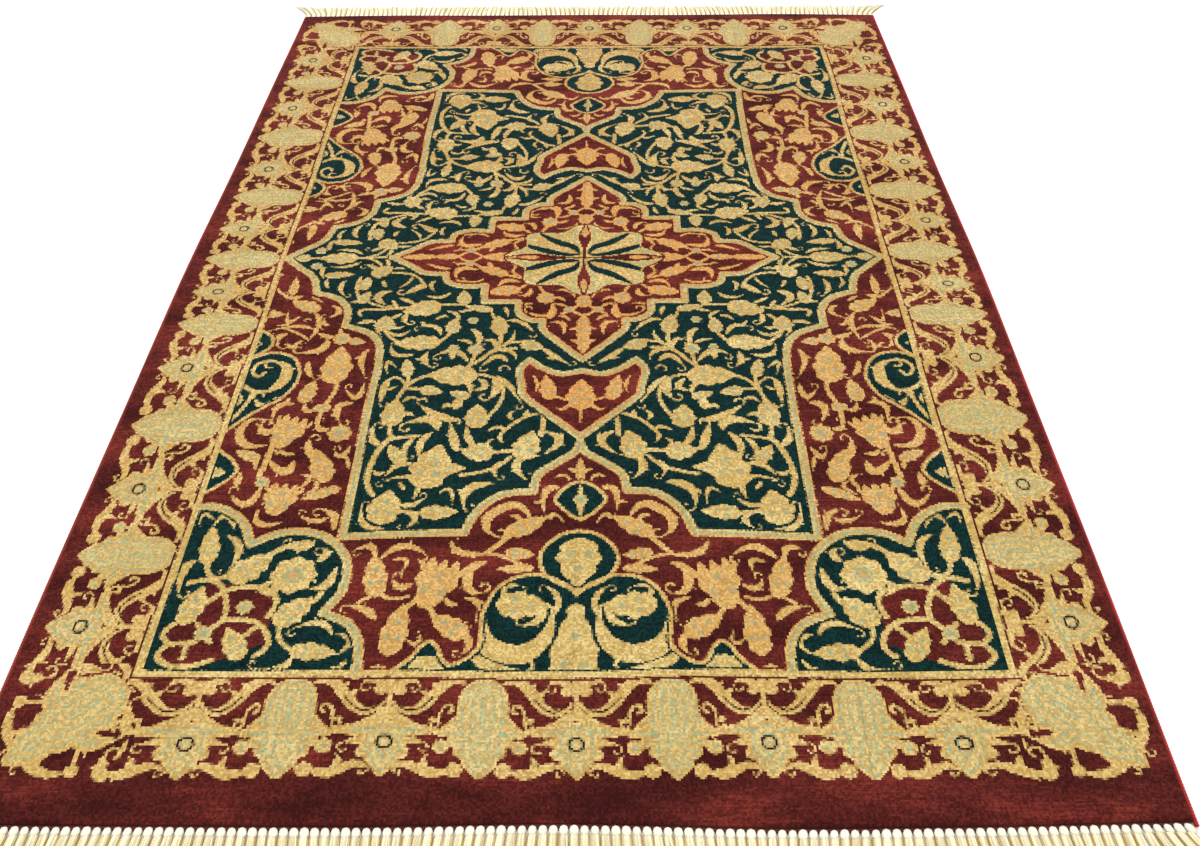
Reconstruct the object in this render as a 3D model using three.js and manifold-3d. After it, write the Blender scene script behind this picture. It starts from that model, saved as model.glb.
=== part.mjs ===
// A hand-knotted rug that lies flat: a pile body, an overcast cord down each long side
// and a row of knotted fringe locks at each end.
// Millimetres, +Z up. The origin is on the floor under the middle of the rug.
// +X runs across the rug and +Y runs along its length, towards the back end.
import * as THREE from "three";
import { mergeVertices } from "three/addons/utils/BufferGeometryUtils.js";
import Module from "manifold-3d";

const wasm = await Module();
wasm.setup();

// Driving dimensions
const RUG_WIDTH = 1220; // across the pile and both overcast cords
const PILE_LENGTH = 1830; // from fringe root to fringe root
const RUG_THICKNESS = 8; // knotted ground and pile together
const PILE_ROUNDING = 1.5; // how far the cut pile rolls over at its rim
const CORD_DIAMETER = 5; // the overcast edge
const PIECE_GAP = 0.3; // between pieces that meet
const STRIP_DEPTH = 4; // the woven heading that the fringe hangs from
const STRIP_HEIGHT = 3.4;
const LOCKS_PER_END = 120;
const LOCK_LENGTH = 56; // the longest lock, from the heading to its tip
const LOCK_TRIM = 7; // how much shorter the shortest lock is
const SIDE_STEPS = 36; // straight steps along a side
const END_STEPS = 36; // straight steps along an end

const BODY_HALF_WIDTH = RUG_WIDTH / 2 - CORD_DIAMETER - PIECE_GAP;
const HALF_LENGTH = PILE_LENGTH / 2;

// How far an edge stands out from a straight line, at even steps along it.
// The sides run from the front end to the back, the ends from left to right.
const SIDE_DRIFT = [
  { share: 0 / 6, out: -4 },
  { share: 1 / 6, out: 0 },
  { share: 2 / 6, out: 2 },
  { share: 3 / 6, out: 4 },
  { share: 4 / 6, out: -1 },
  { share: 5 / 6, out: -3 },
  { share: 6 / 6, out: -6 },
];
const FRONT_DRIFT = [
  { share: 0 / 6, out: 0 },
  { share: 1 / 6, out: 1 },
  { share: 2 / 6, out: 1.5 },
  { share: 3 / 6, out: -1.5 },
  { share: 4 / 6, out: 3 },
  { share: 5 / 6, out: 1 },
  { share: 6 / 6, out: -4 },
];
const BACK_DRIFT = [
  { share: 0 / 6, out: -5 },
  { share: 1 / 6, out: 0 },
  { share: 2 / 6, out: -2 },
  { share: 3 / 6, out: 0 },
  { share: 4 / 6, out: -1 },
  { share: 5 / 6, out: 1.5 },
  { share: 6 / 6, out: -4 },
];

// One fringe lock, from inside the heading to the tip: place along the lock, width, height.
const LOCK_SECTIONS = [
  { along: -0.03, width: 5.2, height: 3.0 }, // sunk in the heading
  { along: 0.05, width: 8.6, height: 6.4 }, // the knot
  { along: 0.16, width: 5.0, height: 3.6 }, // the neck under the knot
  { along: 0.55, width: 7.0, height: 4.2 }, // the loose plies
  { along: 1.0, width: 3.0, height: 2.0 }, // the cut tip
];
const LOCK_TOP_SHARE = 0.56; // width of a lock's top over its base

// How the locks lean: a slow drift along the row, and a splay at each corner of the rug.
const LEAN_DRIFT = 7;
const LEAN_WAVES = 3.5; // drifts over the rug's width
const CORNER_SPLAY = 38;
const SPLAY_WIDTH = 95; // the stretch at each corner that splays
const LEAN_CURVE = 1.4; // above 1 the lock bends outwards along its length

// Materials
const finish = (color, roughness) => new THREE.MeshStandardMaterial({ color, roughness, metalness: 0 });
const pileWool = finish("#7a2f2b", 0.95);
const cordWool = finish("#b4493c", 0.9);
const fringeCotton = finish("#efe6c6", 0.9);

// The smooth drift of an edge at a share of its length.
function driftAt(rows, share) {
  const curve = new THREE.SplineCurve(rows.map((row) => new THREE.Vector2(row.share, row.out)));
  return curve.getPoint(share).y;
}

// Points down one long side, front to back. side is -1 or 1, and outside moves it outwards.
function sidePoints(side, outside) {
  return Array.from({ length: SIDE_STEPS + 1 }, (_, i) => {
    const share = i / SIDE_STEPS;
    const x = side * (BODY_HALF_WIDTH + driftAt(SIDE_DRIFT, share) + outside);
    return new THREE.Vector2(x, THREE.MathUtils.lerp(-HALF_LENGTH, HALF_LENGTH, share));
  });
}

// Points across an end, left to right, as seen with that end at the back.
function endPoints(rows, outside) {
  const reach = BODY_HALF_WIDTH + SIDE_DRIFT.at(-1).out;
  return Array.from({ length: END_STEPS + 1 }, (_, i) => {
    const share = i / END_STEPS;
    const y = HALF_LENGTH + driftAt(rows, share) + outside;
    return new THREE.Vector2(THREE.MathUtils.lerp(-reach, reach, share), y);
  });
}

// Seen from the other end, a row of drifts runs the other way.
const fromBehind = (rows) => rows.map((row, i) => ({ share: row.share, out: rows.at(-1 - i).out }));

// The pile body: its drifting outline, pulled up to its thickness with a rolled rim.
function pileBody() {
  const front = endPoints(fromBehind(FRONT_DRIFT), 0).map((p) => p.negate()).reverse();
  const inside = (points) => points.slice(1, -1);
  const outline = [
    ...front,
    ...inside(sidePoints(1, 0)),
    ...endPoints(BACK_DRIFT, 0).reverse(),
    ...inside(sidePoints(-1, 0)).reverse(),
  ];
  const geometry = new THREE.ExtrudeGeometry(new THREE.Shape(outline), {
    depth: RUG_THICKNESS - 2 * PILE_ROUNDING,
    bevelThickness: PILE_ROUNDING,
    bevelSize: PILE_ROUNDING,
    bevelOffset: -PILE_ROUNDING,
    bevelSegments: 1,
  });
  return geometry.translate(0, 0, PILE_ROUNDING);
}

// The overcast cord: an eight-sided section with a flat below, carried down one side.
function overcastCord(side) {
  const sides = 8;
  const corner = CORD_DIAMETER / 2 / Math.cos(Math.PI / sides);
  const section = Array.from({ length: sides }, (_, i) => {
    const turn = ((i + 0.5) * 2 * Math.PI) / sides;
    return new THREE.Vector2(corner * Math.cos(turn), corner * Math.sin(turn));
  });
  const middle = PIECE_GAP + CORD_DIAMETER / 2;
  const line = sidePoints(side, middle).map((p) => new THREE.Vector3(p.x, p.y, CORD_DIAMETER / 2));
  return new THREE.ExtrudeGeometry(new THREE.Shape(section), {
    steps: SIDE_STEPS,
    extrudePath: new THREE.CatmullRomCurve3(line),
  });
}

// A closed skin over four-cornered sections, each a list of corners that turns the same way.
function skinOver(sections) {
  const corners = 4;
  const index = [];
  for (let ring = 0; ring + 1 < sections.length; ring += 1) {
    for (let k = 0; k < corners; k += 1) {
      const a = ring * corners + k;
      const b = ring * corners + ((k + 1) % corners);
      index.push(a, b, b + corners, a, b + corners, a + corners);
    }
  }
  const last = (sections.length - 1) * corners;
  index.push(0, 2, 1, 0, 3, 2, last, last + 1, last + 2, last, last + 2, last + 3);
  const geometry = new THREE.BufferGeometry();
  geometry.setAttribute("position", new THREE.Float32BufferAttribute(sections.flat(2), 3));
  geometry.setIndex(index);
  return geometry;
}

// How far a lock's tip lies to one side of its root.
function leanAt(x) {
  const drift = LEAN_DRIFT * Math.sin((2 * Math.PI * LEAN_WAVES * x) / RUG_WIDTH);
  const near = THREE.MathUtils.smoothstep(Math.abs(x), BODY_HALF_WIDTH - SPLAY_WIDTH, BODY_HALF_WIDTH);
  return drift * (1 - near) + Math.sign(x) * CORNER_SPLAY * near;
}

// One lock from its root on the heading, lying level on the floor.
function fringeLock(rootX, rootY, tipY) {
  const lean = leanAt(rootX);
  const sections = LOCK_SECTIONS.map(({ along, width, height }) => {
    const x = rootX + lean * Math.max(along, 0) ** LEAN_CURVE;
    const y = THREE.MathUtils.lerp(rootY, tipY, along);
    const base = width / 2;
    const top = base * LOCK_TOP_SHARE;
    return [[x - base, y, 0], [x - top, y, height], [x + top, y, height], [x + base, y, 0]];
  });
  return skinOver(sections);
}

// The heading: a narrow strip along an end, just outside the pile.
function fringeHeading(rows) {
  const inner = endPoints(rows, PIECE_GAP);
  const outer = endPoints(rows, PIECE_GAP + STRIP_DEPTH);
  return new THREE.ExtrudeGeometry(new THREE.Shape([...inner, ...outer.reverse()]), {
    depth: STRIP_HEIGHT,
    bevelEnabled: false,
  });
}

// A closed geometry as a solid that can be joined to others.
function solidOf(geometry) {
  const bare = geometry.clone();
  bare.deleteAttribute("normal");
  bare.deleteAttribute("uv");
  const merged = mergeVertices(bare, 1e-4);
  return new wasm.Manifold(
    new wasm.Mesh({
      numProp: 3,
      vertProperties: new Float32Array(merged.attributes.position.array),
      triVerts: new Uint32Array(merged.index.array),
    }),
  );
}

// A solid back as a geometry.
function geometryOf(solid) {
  const mesh = solid.getMesh();
  const geometry = new THREE.BufferGeometry();
  geometry.setAttribute("position", new THREE.Float32BufferAttribute(mesh.vertProperties, mesh.numProp));
  geometry.setIndex(Array.from(mesh.triVerts));
  geometry.computeVertexNormals();
  return geometry;
}

// A whole fringe: the heading with a lock at every pitch, drawn with its end at the back.
function fringe(rows) {
  const reach = BODY_HALF_WIDTH + SIDE_DRIFT.at(-1).out;
  const pitch = (2 * reach) / LOCKS_PER_END;
  const goldenShare = 0.618;
  let joined = solidOf(fringeHeading(rows));
  for (let i = 0; i < LOCKS_PER_END; i += 1) {
    const x = -reach + (i + 0.5) * pitch;
    const share = (x + reach) / (2 * reach);
    const rootY = HALF_LENGTH + driftAt(rows, share) + PIECE_GAP + STRIP_DEPTH;
    const trim = LOCK_TRIM * ((Math.min(i, LOCKS_PER_END - 1 - i) * goldenShare) % 1);
    const tipY = HALF_LENGTH + STRIP_DEPTH + LOCK_LENGTH - trim;
    joined = joined.add(solidOf(fringeLock(x, rootY, tipY)));
  }
  return geometryOf(joined);
}

function named(name, geometry, material) {
  const mesh = new THREE.Mesh(geometry, material);
  mesh.name = name;
  return mesh;
}

// The rug, with the front fringe drawn at the back and turned half round.
const rug = new THREE.Group();
rug.add(named("pile_body", pileBody(), pileWool));
rug.add(named("overcast_left", overcastCord(-1), cordWool));
rug.add(named("overcast_right", overcastCord(1), cordWool));
rug.add(named("fringe_back", fringe(BACK_DRIFT), fringeCotton));

const frontEnd = new THREE.Group();
frontEnd.rotation.z = Math.PI;
frontEnd.add(named("fringe_front", fringe(fromBehind(FRONT_DRIFT)), fringeCotton));
rug.add(frontEnd);

export default rug;
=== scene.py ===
import bpy
import numpy as np
from mathutils import Matrix, Vector


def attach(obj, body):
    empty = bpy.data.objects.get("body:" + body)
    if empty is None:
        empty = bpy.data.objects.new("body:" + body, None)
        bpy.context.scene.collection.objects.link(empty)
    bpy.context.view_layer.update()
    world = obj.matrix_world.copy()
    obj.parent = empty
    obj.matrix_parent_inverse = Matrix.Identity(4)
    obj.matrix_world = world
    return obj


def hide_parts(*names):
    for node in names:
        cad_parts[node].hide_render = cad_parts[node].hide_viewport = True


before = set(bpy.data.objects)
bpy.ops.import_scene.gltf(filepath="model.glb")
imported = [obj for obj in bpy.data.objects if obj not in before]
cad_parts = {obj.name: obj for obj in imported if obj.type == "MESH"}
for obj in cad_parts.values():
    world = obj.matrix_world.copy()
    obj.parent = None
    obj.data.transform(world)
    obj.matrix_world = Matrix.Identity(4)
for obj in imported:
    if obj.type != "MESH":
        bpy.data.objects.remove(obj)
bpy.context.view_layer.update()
mm = 0.001

# A hand-knotted rug, laid flat. +X runs across it and +Y along it to the back end.
# All sizes are in millimetres and the mesh data is in metres.
rug = {
    "width": 1220,  # over both cords
    "bodyHalf": 604.7,  # from the middle to the side of the pile
    "halfLength": 915,
    "endReach": 598.7,  # half the width at the ends
    "thickness": 8,
    "sideDrift": (-4, 0, 2, 4, -1, -3, -6),  # front to back
    "frontDrift": (0, 1, 1.5, -1.5, 3, 1, -4),  # left to right
    "backDrift": (-5, 0, -2, 0, -1, 1.5, -4),
}


# A smooth curve through a few places: each span is a cubic that keeps the slope of its neighbours.
def curveThrough(places, steps):
    p = np.asarray(places, float)
    around = np.concatenate([p[:1], p, p[-1:]])
    t = np.clip(steps, 0, 1) * (len(p) - 1)
    k = np.minimum(t.astype(int), len(p) - 2)
    f = t - k
    if p.ndim > 1:
        f = f[..., None]
    a, b, c, d = around[k], around[k + 1], around[k + 2], around[k + 3]
    slope = (c - a) * f
    bend = (2 * a - 5 * b + 4 * c - d) * f**2
    sway = (3 * b - a - 3 * c + d) * f**3
    return 0.5 * (2 * b + slope + bend + sway)


def sideAt(y):  # how far the side stands from the middle
    share = (y + rug["halfLength"]) / (2 * rug["halfLength"])
    return rug["bodyHalf"] + curveThrough(rug["sideDrift"], share)


def endAt(x, drift):  # how far an end stands from the middle
    share = (x + rug["endReach"]) / (2 * rug["endReach"])
    return rug["halfLength"] + curveThrough(drift, share)


# Places over the rug: p is a share of the way from the front end to the back, and q runs from -1 at
# the left side to 1 at the right. The two ends come back as well.
def overRug(p, q, inset=0.0):
    level = (2 * p - 1) * rug["halfLength"]
    x = q * (sideAt(level) - inset)
    front = -endAt(-x, rug["frontDrift"][::-1])
    back = endAt(x, rug["backDrift"])
    return x, front + (back - front) * p, front, back


# The woven design, charted in millimetres on one quarter of the field.
# across runs from the rug's long axis to a side, along runs from the medallion's middle to an end.
# A motif row: kind, half width, then the places that its spine passes through, root to tip.
fieldOutline = [
    [(466, -4), (437, 25), (412, 52), (402, 90)],
    [(402, 90), (368, 104), (349, 132), (347, 170)],
    [(347, 170), (309, 188), (290, 216), (284, 262)],
    [(284, 262), (284, 577)],
    [(284, 577), (138, 570)],
    [(138, 570), (124, 534), (96, 506), (58, 500)],
    [(58, 500), (53, 472), (34, 454), (7, 432), (0, 413)],
]
medallionOutline = [
    [(299, 0), (268, 22), (243, 42), (210, 45)],
    [(210, 45), (205, 66), (180, 77), (149, 75)],
    [(149, 75), (149, 114)],
    [(149, 114), (98, 114)],
    [(98, 114), (96, 142), (78, 157), (60, 158)],
    [(60, 158), (58, 180), (30, 213), (0, 246)],
]
pendantOutline = [
    [(0, 270), (28, 277), (54, 265), (74, 247)],
    [(74, 247), (86, 270), (81, 301), (77, 322), (48, 354), (0, 404)],
]
spandrelOutline = [
    [(470, 527), (440, 528), (408, 549), (390, 586)],
    [(390, 586), (362, 570), (330, 567), (298, 580), (272, 612), (268, 654), (284, 688)],
    [(284, 688), (252, 704), (236, 732), (233, 772)],
]

fieldMotifs = [
    ("stem", 2.9, (303, 0), (355, 0)),
    ("palmette", 15, (352, 0), (412, 0)),
    ("stem", 2.8, (408, 0), (428, 0)),
    ("palmette", 11.3, (424, 0), (462, 0)),
    ("rosette", 10, (412, 21)),
    ("leaf", 4, (398, 22), (402, 36), (396, 54)),
    ("palmette", 8.5, (398, 46), (350, 42)),
    ("leaf", 4, (346, 10), (366, 22), (392, 22)),
    ("leaf", 4.5, (362, 58), (368, 78), (357, 99)),
    ("leaf", 3.6, (389, 54), (391, 68), (382, 82)),
    ("stem", 2.8, (350, -2), (323, 9), (311, 28)),
    ("palmette", 14.1, (324, 48), (294, 24)),
    ("leaf", 4, (303, 24), (304, 12), (310, 4)),
    ("leaf", 4.5, (316, 36), (326, 24), (339, 19)),
    ("leaf", 3, (296, 31), (284, 29), (272, 31)),
    ("stem", 2.9, (293, 41), (260, 47), (241, 70), (241, 80)),
    ("leaf", 6.5, (241, 72), (252, 82), (268, 95)),
    ("leaf", 3, (261, 50), (266, 66), (284, 83)),
    ("palmette", 10.3, (334, 84), (328, 50)),
    ("stem", 3.2, (341, 52), (343, 80), (334, 106)),
    ("leaf", 4, (305, 60), (303, 68), (298, 77)),
    ("leaf", 6.5, (288, 86), (308, 101), (289, 123)),
    ("palmette", 9.4, (332, 118), (322, 86)),
    ("leaf", 4, (322, 106), (338, 112), (348, 113)),
    ("stem", 3.2, (262, 128), (300, 132), (328, 133), (327, 146)),
    ("stem", 2.8, (285, 128), (312, 119), (325, 106)),
    ("leaf", 4, (276, 129), (279, 120), (284, 114)),
    ("palmette", 18.8, (210, 124), (266, 138)),
    ("leaf", 4, (250, 118), (264, 110), (276, 102)),
    ("leaf", 5, (258, 142), (261, 156), (255, 168)),
    ("leaf", 3.8, (223, 62), (230, 74), (222, 91)),
    ("leaf", 4, (199, 91), (215, 104), (239, 97)),
    ("bud", 11, (177, 122), (180, 86)),
    ("stem", 2.8, (175, 122), (212, 122)),
    ("stem", 2.8, (177, 118), (172, 126), (160, 131)),
    ("palmette", 8.5, (134, 135), (176, 126)),
    ("leaf", 3.6, (160, 133), (174, 136), (186, 139)),
    ("leaf", 3.2, (137, 138), (134, 148), (130, 160)),
    ("leaf", 4, (119, 127), (114, 137), (112, 149)),
    ("leaf", 3.6, (183, 161), (188, 144), (205, 138)),
    ("palmette", 13.2, (120, 192), (127, 147)),
    ("stem", 3.5, (120, 188), (120, 212), (126, 226)),
    ("leaf", 4.6, (113, 160), (92, 162), (69, 190)),
    ("leaf", 4.6, (127, 222), (130, 206), (146, 206)),
    ("leaf", 4, (122, 220), (104, 204), (100, 180)),
    ("stem", 2.8, (108, 209), (86, 206)),
    ("palmette", 12.2, (90, 210), (55, 221)),
    ("leaf", 5, (56, 222), (42, 236), (17, 258)),
    ("leaf", 3, (40, 244), (51, 242)),
    ("stem", 3.5, (96, 222), (126, 228), (145, 249), (163, 267)),
    ("leaf", 3.8, (122, 228), (100, 231), (93, 250)),
    ("leaf", 5.4, (105, 253), (122, 241), (142, 266)),
    ("curl", 7, (108, 268)),
    ("leaf", 5.5, (164, 180), (151, 196), (153, 226)),
    ("rosette", 13, (153, 226)),
    ("stem", 3.2, (153, 238), (157, 258)),
    ("leaf", 3.6, (158, 215), (168, 207), (185, 204)),
    ("rosette", 9, (184, 223)),
    ("leaf", 5.5, (161, 254), (182, 231), (208, 240)),
    ("bud", 6, (184, 226), (185, 250)),
    ("palmette", 11.3, (191, 190), (188, 154)),
    ("stem", 3.2, (191, 186), (203, 206), (214, 211)),
    ("rosette", 9, (162, 159)),
    ("palmette", 16.9, (203, 210), (270, 213)),
    ("stem", 3.2, (262, 211), (280, 194), (286, 176)),
    ("palmette", 15, (288, 184), (290, 147)),
    ("leaf", 4.6, (302, 163), (315, 161), (332, 167)),
    ("leaf", 4, (281, 156), (274, 149), (266, 143)),
    ("leaf", 3.8, (281, 170), (270, 177), (259, 172)),
    ("leaf", 3.8, (294, 175), (296, 188), (286, 200)),
    ("leaf", 4.2, (282, 184), (264, 194), (249, 180)),
    ("leaf", 4.4, (205, 196), (216, 174), (242, 175)),
    ("leaf", 3.2, (226, 176), (232, 168), (238, 161)),
    ("leaf", 3.2, (197, 152), (208, 150), (219, 163)),
    ("leaf", 4.6, (236, 237), (263, 238), (273, 215)),
    ("leaf", 5.4, (219, 233), (222, 250), (212, 265)),
    ("leaf", 3.4, (219, 254), (228, 249), (237, 247)),
    ("palmette", 9.4, (240, 287), (247, 247)),
    ("stem", 3.5, (240, 283), (240, 300), (248, 330)),
    ("leaf", 3.4, (257, 268), (273, 255), (266, 287)),
    ("stem", 2.4, (243, 299), (258, 287), (268, 300)),
    ("leaf", 5.6, (266, 290), (269, 312), (270, 341)),
    ("leaf", 3, (265, 312), (257, 309), (251, 303)),
    ("palmette", 20.7, (144, 284), (214, 282)),
    ("stem", 3.2, (208, 283), (226, 291), (240, 308)),
    ("stem", 3, (150, 280), (128, 284), (112, 294)),
    ("leaf", 7, (122, 286), (115, 308), (124, 331)),
    ("stem", 3.2, (110, 299), (106, 330), (122, 366)),
    ("leaf", 5, (118, 283), (97, 305), (77, 343)),
    ("leaf", 5.6, (143, 289), (132, 305), (148, 314)),
    ("leaf", 4.4, (161, 297), (152, 308), (152, 325)),
    ("palmette", 8.5, (150, 328), (180, 318)),
    ("bud", 7.5, (168, 352), (163, 322)),
    ("bud", 10.5, (221, 312), (188, 319)),
    ("stem", 3, (214, 311), (242, 310)),
    ("palmette", 16, (250, 384), (249, 330)),
    ("leaf", 4, (237, 358), (229, 360), (220, 365)),
    ("leaf", 3.6, (240, 338), (230, 328), (216, 336)),
    ("stem", 3.5, (250, 378), (250, 394), (245, 408)),
    ("leaf", 6.8, (160, 373), (188, 365), (218, 342)),
    ("leaf", 4, (186, 352), (179, 343), (173, 351)),
    ("palmette", 16.9, (136, 388), (138, 342)),
    ("stem", 3.2, (50, 358), (76, 369), (99, 394)),
    ("leaf", 3.8, (88, 372), (93, 362), (84, 352)),
    ("bud", 5, (71, 368), (70, 351)),
    ("leaf", 3.8, (97, 394), (107, 386), (124, 396)),
    ("leaf", 3.4, (99, 393), (103, 405), (96, 417)),
    ("rosette", 7, (48, 356)),
    ("stem", 4, (47, 360), (50, 400)),
    ("palmette", 17.9, (74, 446), (61, 392)),
    ("leaf", 6, (72, 438), (80, 458), (69, 478)),
    ("leaf", 5.8, (46, 393), (27, 412), (51, 438)),
    ("leaf", 3.4, (30, 405), (24, 404), (25, 394)),
    ("stem", 3.8, (84, 429), (112, 432)),
    ("palmette", 16.9, (110, 433), (152, 431)),
    ("leaf", 3, (120, 421), (117, 412), (109, 408)),
    ("leaf", 5.4, (134, 421), (145, 406), (148, 382)),
    ("leaf", 6.8, (157, 430), (164, 408), (171, 378)),
    ("stem", 3, (148, 428), (158, 426)),
    ("leaf", 4.6, (92, 448), (107, 460), (103, 479)),
    ("stem", 3.2, (88, 440), (112, 462), (150, 473)),
    ("palmette", 26.3, (196, 498), (180, 418)),
    ("palmette", 12.2, (204, 462), (142, 461)),
    ("leaf", 5.6, (193, 396), (207, 418), (203, 448)),
    ("leaf", 4.4, (210, 455), (232, 457), (247, 479)),
    ("leaf", 8, (188, 392), (198, 372), (233, 379)),
    ("stem", 3.2, (211, 402), (246, 407)),
    ("leaf", 4.4, (213, 404), (226, 424), (221, 444)),
    ("palmette", 10.3, (226, 454), (248, 418)),
    ("stem", 4.2, (246, 405), (262, 435), (268, 478), (257, 508)),
    ("leaf", 6, (256, 420), (272, 405), (271, 381)),
    ("leaf", 4, (262, 465), (254, 472), (245, 465)),
    ("leaf", 4.6, (207, 520), (206, 480), (252, 485)),
    ("leaf", 3.4, (225, 485), (222, 494), (217, 499)),
    ("palmette", 21.6, (242, 558), (236, 500)),
    ("leaf", 4.4, (222, 523), (208, 526), (190, 513)),
    ("stem", 3.5, (222, 536), (190, 540)),
    ("palmette", 12.2, (196, 539), (147, 536)),
    ("leaf", 4.4, (209, 541), (199, 550), (211, 565)),
    ("leaf", 4.8, (233, 564), (260, 558), (268, 525)),
    ("leaf", 6.8, (108, 487), (138, 498), (141, 530)),
    ("leaf", 3, (137, 503), (146, 502), (150, 510)),
    ("leaf", 3.2, (156, 527), (161, 499), (178, 510)),
]
panelMotifs = [
    ("bud", 7, (437, 98), (438, 48)),
    ("leaf", 4.4, (419, 97), (436, 103), (450, 97)),
    ("stem", 2.8, (446, 97), (458, 87), (466, 72)),
    ("rosette", 14, (472, 45)),
    ("leaf", 3.8, (430, 103), (428, 113), (421, 124)),
    ("palmette", 13.2, (390, 134), (434, 111)),
    ("leaf", 4.6, (398, 138), (386, 168), (397, 210)),
    ("leaf", 3.2, (389, 113), (399, 106), (410, 98)),
    ("leaf", 5, (374, 122), (361, 137), (379, 153)),
    ("bud", 10, (474, 143), (439, 144)),
    ("rosette", 8, (470, 112)),
    ("leaf", 4, (416, 147), (432, 160), (436, 131)),
    ("leaf", 3.4, (424, 157), (434, 168), (451, 169)),
    ("curl", 4.5, (404, 158)),
    ("leaf", 3.8, (381, 154), (377, 167), (367, 167)),
    ("leaf", 4, (389, 181), (418, 172), (456, 184)),
    ("stem", 2.8, (398, 199), (416, 186), (432, 178)),
    ("leaf", 4.2, (406, 202), (415, 219), (425, 205)),
    ("leaf", 6.2, (427, 189), (441, 203), (431, 221)),
    ("stem", 3, (455, 184), (444, 206), (453, 236)),
    ("rosette", 14, (346, 201)),
    ("bud", 9, (336, 205), (309, 210)),
    ("stem", 3.8, (350, 190), (352, 182)),
    ("leaf", 5, (357, 196), (370, 195), (385, 186)),
    ("leaf", 7, (368, 202), (372, 224), (404, 232)),
    ("palmette", 21.6, (340, 298), (343, 218)),
    ("leaf", 5, (303, 226), (309, 250), (298, 285)),
    ("leaf", 3.2, (309, 240), (320, 246)),
    ("leaf", 5, (383, 250), (381, 268), (369, 287)),
    ("stem", 3.8, (338, 290), (334, 312), (345, 345)),
    ("leaf", 5, (297, 297), (303, 326), (321, 307)),
    ("leaf", 6, (304, 338), (324, 346), (316, 378)),
    ("leaf", 3.8, (320, 357), (330, 361)),
    ("rosette", 17, (314, 396)),
    ("leaf", 5, (328, 386), (341, 387), (347, 371)),
    ("stem", 3.8, (345, 345), (346, 376)),
    ("palmette", 9.4, (333, 346), (358, 346)),
    ("leaf", 4.4, (352, 350), (366, 350), (369, 333)),
    ("palmette", 12.2, (374, 336), (366, 290)),
    ("leaf", 5, (383, 338), (406, 344), (405, 375)),
    ("leaf", 3.2, (396, 336), (393, 325)),
    ("fan", 25, (392, 424), (374, 362)),
    ("leaf", 6.5, (392, 386), (413, 393), (420, 375)),
    ("leaf", 4, (386, 426), (376, 434), (360, 433)),
    ("leaf", 6.6, (402, 418), (432, 418), (445, 398), (440, 374), (424, 368)),
    ("stem", 4.2, (396, 414), (399, 446), (403, 474)),
    ("palmette", 9.4, (407, 446), (443, 429)),
    ("leaf", 4, (412, 448), (410, 462)),
    ("leaf", 7.5, (364, 446), (374, 466), (400, 440)),
    ("bud", 15, (318, 486), (340, 424)),
    ("leaf", 6.4, (332, 446), (348, 428), (350, 404)),
    ("leaf", 4.8, (296, 419), (306, 439), (317, 426)),
    ("leaf", 3.2, (301, 438), (296, 450), (294, 467)),
    ("palmette", 8.5, (298, 495), (346, 516)),
    ("fan", 24, (374, 540), (366, 487)),
    ("leaf", 3.8, (335, 482), (329, 495), (347, 509)),
    ("leaf", 3.8, (350, 497), (340, 478), (356, 471)),
    ("rosette", 11, (397, 485)),
    ("leaf", 6, (396, 492), (410, 522), (434, 502)),
    ("bud", 6, (427, 492), (430, 462)),
    ("leaf", 4.8, (360, 552), (389, 552), (391, 524)),
    ("leaf", 6, (297, 567), (299, 544), (318, 531)),
    ("leaf", 4.4, (306, 545), (322, 551), (342, 540)),
]
archMotifs = [
    ("bud", 7, (0, 484), (0, 440)),
    ("leaf", 3.4, (4, 466), (15, 461)),
    ("leaf", 3.2, (33, 477), (19, 473), (12, 487)),
    ("leaf", 5.2, (22, 497), (43, 500), (43, 541)),
    ("leaf", 3.2, (45, 517), (58, 519)),
    ("palmette", 13.2, (88, 572), (40, 542)),
    ("leaf", 4, (72, 549), (77, 542), (87, 541)),
    ("leaf", 3.2, (43, 548), (30, 539), (17, 559)),
    ("leaf", 7, (60, 546), (80, 523), (108, 540), (112, 561), (99, 576)),
    ("stem", 3.8, (82, 572), (108, 601)),
    ("palmette", 9.4, (88, 600), (52, 604)),
    ("leaf", 5.2, (106, 603), (140, 601), (153, 579)),
    ("stem", 3, (60, 626), (80, 611), (108, 602)),
    ("palmette", 7.5, (52, 624), (96, 626)),
    ("leaf", 6.6, (106, 616), (126, 628), (124, 656), (106, 660)),
    ("fan", 27, (172, 684), (154, 612)),
    ("leaf", 5, (188, 648), (204, 653), (212, 638)),
    ("leaf", 4.2, (150, 668), (143, 677), (133, 676)),
    ("stem", 3.8, (172, 673), (155, 698)),
    ("stem", 3.8, (182, 672), (190, 682)),
    ("stem", 2.9, (191, 666), (212, 669), (226, 657)),
    ("palmette", 14.1, (120, 722), (163, 692)),
    ("leaf", 5, (128, 714), (117, 730), (125, 747)),
    ("palmette", 15, (204, 748), (194, 676)),
    ("leaf", 3.2, (190, 722), (172, 731), (176, 706)),
    ("palmette", 14.1, (228, 668), (240, 604)),
    ("leaf", 5, (240, 610), (246, 593), (264, 597)),
    ("leaf", 3.4, (219, 616), (201, 614), (206, 639)),
    ("leaf", 5.6, (232, 612), (206, 592), (178, 608)),
    ("leaf", 5.6, (224, 699), (236, 685), (259, 678)),
    ("stem", 2.8, (226, 661), (246, 674)),
    ("leaf", 4.8, (129, 668), (109, 680), (116, 707)),
    ("rosette", 11, (211, 768)),
]
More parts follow.
